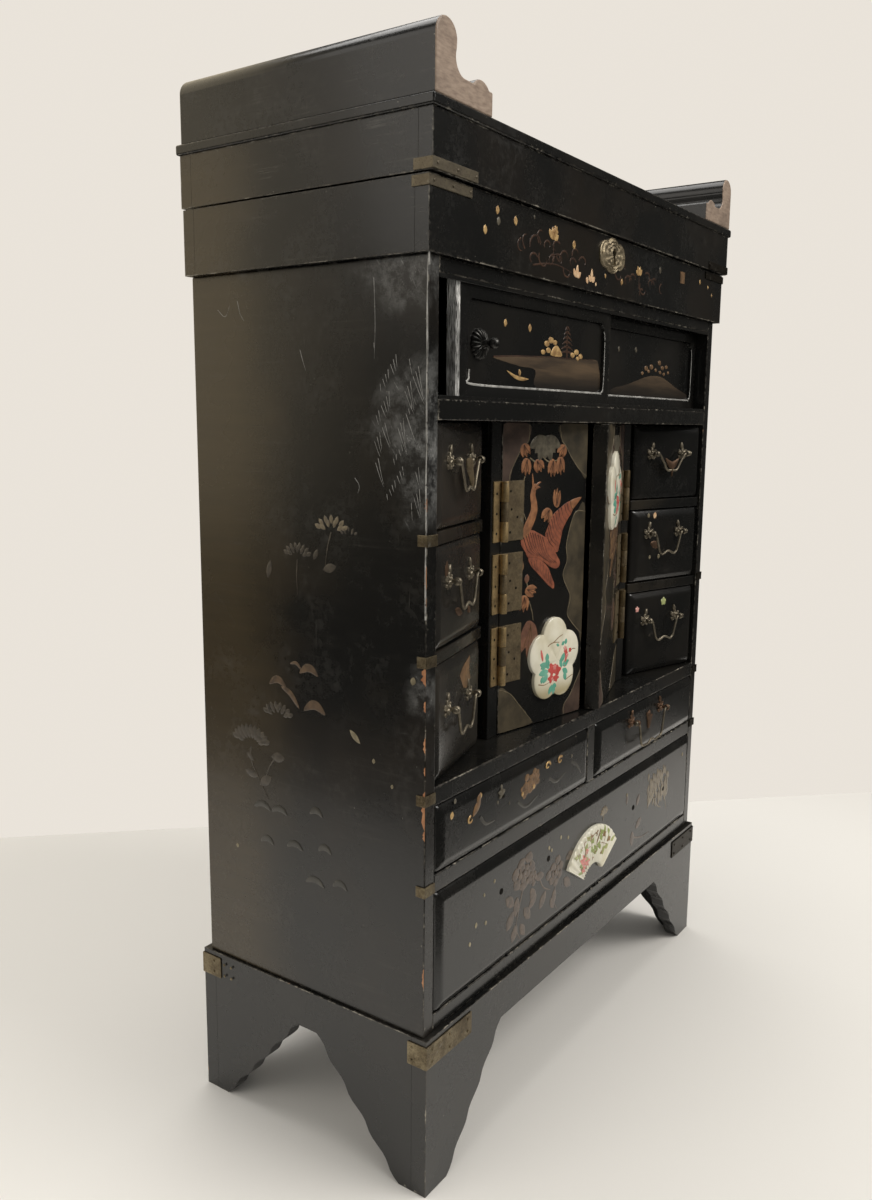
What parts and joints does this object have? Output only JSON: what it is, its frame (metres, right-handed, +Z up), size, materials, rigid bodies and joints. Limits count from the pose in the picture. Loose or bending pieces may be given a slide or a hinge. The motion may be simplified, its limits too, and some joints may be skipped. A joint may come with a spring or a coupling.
{
  "type": "tabletop cabinet with drawers",
  "caption": "Black lacquered Japanese table cabinet on bracket feet: drawers, recessed cupboard, sliding doors and a hinged lid with scrolled rails",
  "frame": {"origin": "centre of the footprint of the whole part, on the floor", "axes": "+X to the right seen from the front, +Y to the back, +Z up"},
  "size_m": [0.3978, 0.1841, 0.6172],
  "materials": {
    "black_lacquer": "worn black lacquer over wood, half gloss",
    "red_lacquer": "thin red-brown lacquer, half gloss",
    "plain_wood": "bare cedar, planed",
    "worn_wood": "black lacquer worn down to grey-brown wood on the ends",
    "gilt_lacquer": "black lacquer with gold sprinkled landscape",
    "door_lacquer": "brown-gold lacquer with inlay, half gloss",
    "aged_brass": "tarnished sheet brass",
    "silvered_metal": "silvered brass, worn",
    "porcelain": "glazed porcelain with painted flowers"
  },
  "bodies": {
    "cabinet": {"base_frame": "black_lacquer", "case_side_left": "black_lacquer", "case_side_right": "black_lacquer", "back_panel": "plain_wood", "case_floor": "black_lacquer", "lower_shelf": "black_lacquer", "drawer_upright": "black_lacquer", "middle_shelf": "black_lacquer", "upper_shelf": "black_lacquer", "case_top": "black_lacquer", "sliding_tracks": "black_lacquer", "cupboard_walls": "black_lacquer", "small_drawer_shelves": "red_lacquer", "corner_brasses": "aged_brass", "tray_frame": "black_lacquer", "escutcheon": "aged_brass", "lock_case": "aged_brass", "lid_hinge_barrels": "aged_brass", "door_hinge_barrels": "aged_brass"},
    "lid": {"lid_frame": "black_lacquer", "lid_board": "black_lacquer", "galleries": "worn_wood", "lid_brasses": "aged_brass", "lid_hinge_leaves": "aged_brass"},
    "lock_bolt": {"lock_bolt": "aged_brass"},
    "sliding_door_left": {"sliding_frame_left": "black_lacquer", "sliding_panel_left": "gilt_lacquer", "rosette_knob": "silvered_metal"},
    "sliding_door_right": {"sliding_frame_right": "black_lacquer", "sliding_panel_right": "gilt_lacquer"},
    "door_left": {"cupboard_door_left": "door_lacquer", "plaque_left": "porcelain", "hinge_leaves_left": "aged_brass"},
    "door_right": {"cupboard_door_right": "door_lacquer", "plaque_right": "porcelain", "hinge_leaves_right": "aged_brass"},
    "drawer_left_top": {"drawer_left_top": "black_lacquer", "posts_left_top": "aged_brass"},
    "drawer_left_mid": {"drawer_left_mid": "black_lacquer", "posts_left_mid": "aged_brass"},
    "drawer_left_low": {"drawer_left_low": "black_lacquer", "posts_left_low": "aged_brass"},
    "drawer_right_top": {"drawer_right_top": "black_lacquer", "posts_right_top": "aged_brass"},
    "drawer_right_mid": {"drawer_right_mid": "black_lacquer", "posts_right_mid": "aged_brass"},
    "drawer_right_low": {"drawer_right_low": "black_lacquer", "posts_right_low": "aged_brass"},
    "drawer_pair_left": {"drawer_pair_left": "black_lacquer"},
    "drawer_pair_right": {"drawer_pair_right": "black_lacquer", "posts_pair": "aged_brass"},
    "drawer_wide": {"drawer_wide": "black_lacquer", "fan_plaque": "porcelain"},
    "bail_left_top": {"bail_left_top": "aged_brass"},
    "bail_left_mid": {"bail_left_mid": "aged_brass"},
    "bail_left_low": {"bail_left_low": "aged_brass"},
    "bail_right_top": {"bail_right_top": "aged_brass"},
    "bail_right_mid": {"bail_right_mid": "aged_brass"},
    "bail_right_low": {"bail_right_low": "aged_brass"},
    "bail_pair": {"bail_pair": "aged_brass"}
  },
  "joints": [
    {"name": "lid_hinge", "type": "hinge", "parent": "cabinet", "child": "lid", "pos_m": [0, 0.08965, 0.5475], "axis": [-1, 0, 0], "range_deg": [0, 100]},
    {"name": "lock_bolt_slide", "type": "slide", "parent": "cabinet", "child": "lock_bolt", "axis": [1, 0, 0], "range_m": [0, 0.006]},
    {"name": "sliding_door_left_slide", "type": "slide", "parent": "cabinet", "child": "sliding_door_left", "axis": [1, 0, 0], "range_m": [-0.018, 0.166]},
    {"name": "sliding_door_right_slide", "type": "slide", "parent": "cabinet", "child": "sliding_door_right", "axis": [1, 0, 0], "range_m": [-0.1695, 0]},
    {"name": "door_left_hinge", "type": "hinge", "parent": "cabinet", "child": "door_left", "pos_m": [-0.0848, -0.06265, 0.3346], "axis": [0, 0, -1], "range_deg": [-10, 84]},
    {"name": "door_right_hinge", "type": "hinge", "parent": "cabinet", "child": "door_right", "pos_m": [0.0848, -0.06265, 0.3346], "axis": [0, 0, 1], "range_deg": [-18, 76]},
    {"name": "drawer_left_top_slide", "type": "slide", "parent": "cabinet", "child": "drawer_left_top", "axis": [0, -1, 0], "range_m": [0, 0.11]},
    {"name": "drawer_left_mid_slide", "type": "slide", "parent": "cabinet", "child": "drawer_left_mid", "axis": [0, -1, 0], "range_m": [0, 0.11]},
    {"name": "drawer_left_low_slide", "type": "slide", "parent": "cabinet", "child": "drawer_left_low", "axis": [0, -1, 0], "range_m": [0, 0.11]},
    {"name": "drawer_right_top_slide", "type": "slide", "parent": "cabinet", "child": "drawer_right_top", "axis": [0, -1, 0], "range_m": [0, 0.11]},
    {"name": "drawer_right_mid_slide", "type": "slide", "parent": "cabinet", "child": "drawer_right_mid", "axis": [0, -1, 0], "range_m": [0, 0.11]},
    {"name": "drawer_right_low_slide", "type": "slide", "parent": "cabinet", "child": "drawer_right_low", "axis": [0, -1, 0], "range_m": [0, 0.11]},
    {"name": "drawer_pair_left_slide", "type": "slide", "parent": "cabinet", "child": "drawer_pair_left", "axis": [0, -1, 0], "range_m": [0, 0.115]},
    {"name": "drawer_pair_right_slide", "type": "slide", "parent": "cabinet", "child": "drawer_pair_right", "axis": [0, -1, 0], "range_m": [0, 0.115]},
    {"name": "drawer_wide_slide", "type": "slide", "parent": "cabinet", "child": "drawer_wide", "axis": [0, -1, 0], "range_m": [0, 0.115]},
    {"name": "bail_left_low_hinge", "type": "hinge", "parent": "drawer_left_low", "child": "bail_left_low", "pos_m": [-0.14494, -0.07748, 0.2763], "axis": [-0.9636, -0.2672, 0], "range_deg": [0, 90]},
    {"name": "bail_left_mid_hinge", "type": "hinge", "parent": "drawer_left_mid", "child": "bail_left_mid", "pos_m": [-0.14494, -0.07748, 0.347], "axis": [-0.9636, -0.2672, 0], "range_deg": [0, 90]},
    {"name": "bail_left_top_hinge", "type": "hinge", "parent": "drawer_left_top", "child": "bail_left_top", "pos_m": [-0.14494, -0.07748, 0.4104], "axis": [-0.9636, -0.2672, 0], "range_deg": [0, 90]},
    {"name": "bail_right_low_hinge", "type": "hinge", "parent": "drawer_right_low", "child": "bail_right_low", "pos_m": [0.1379, -0.07553, 0.2808], "axis": [-0.9636, 0.2672, 0], "range_deg": [0, 90]},
    {"name": "bail_right_mid_hinge", "type": "hinge", "parent": "drawer_right_mid", "child": "bail_right_mid", "pos_m": [0.1379, -0.07553, 0.3488], "axis": [-0.9636, 0.2672, 0], "range_deg": [0, 90]},
    {"name": "bail_right_top_hinge", "type": "hinge", "parent": "drawer_right_top", "child": "bail_right_top", "pos_m": [0.1379, -0.07553, 0.4095], "axis": [-0.9636, 0.2672, 0], "range_deg": [0, 90]},
    {"name": "bail_pair_hinge", "type": "hinge", "parent": "drawer_pair_right", "child": "bail_pair", "pos_m": [0.0882, -0.08975, 0.216], "axis": [-1, 0, 0], "range_deg": [0, 90]}
  ]
}
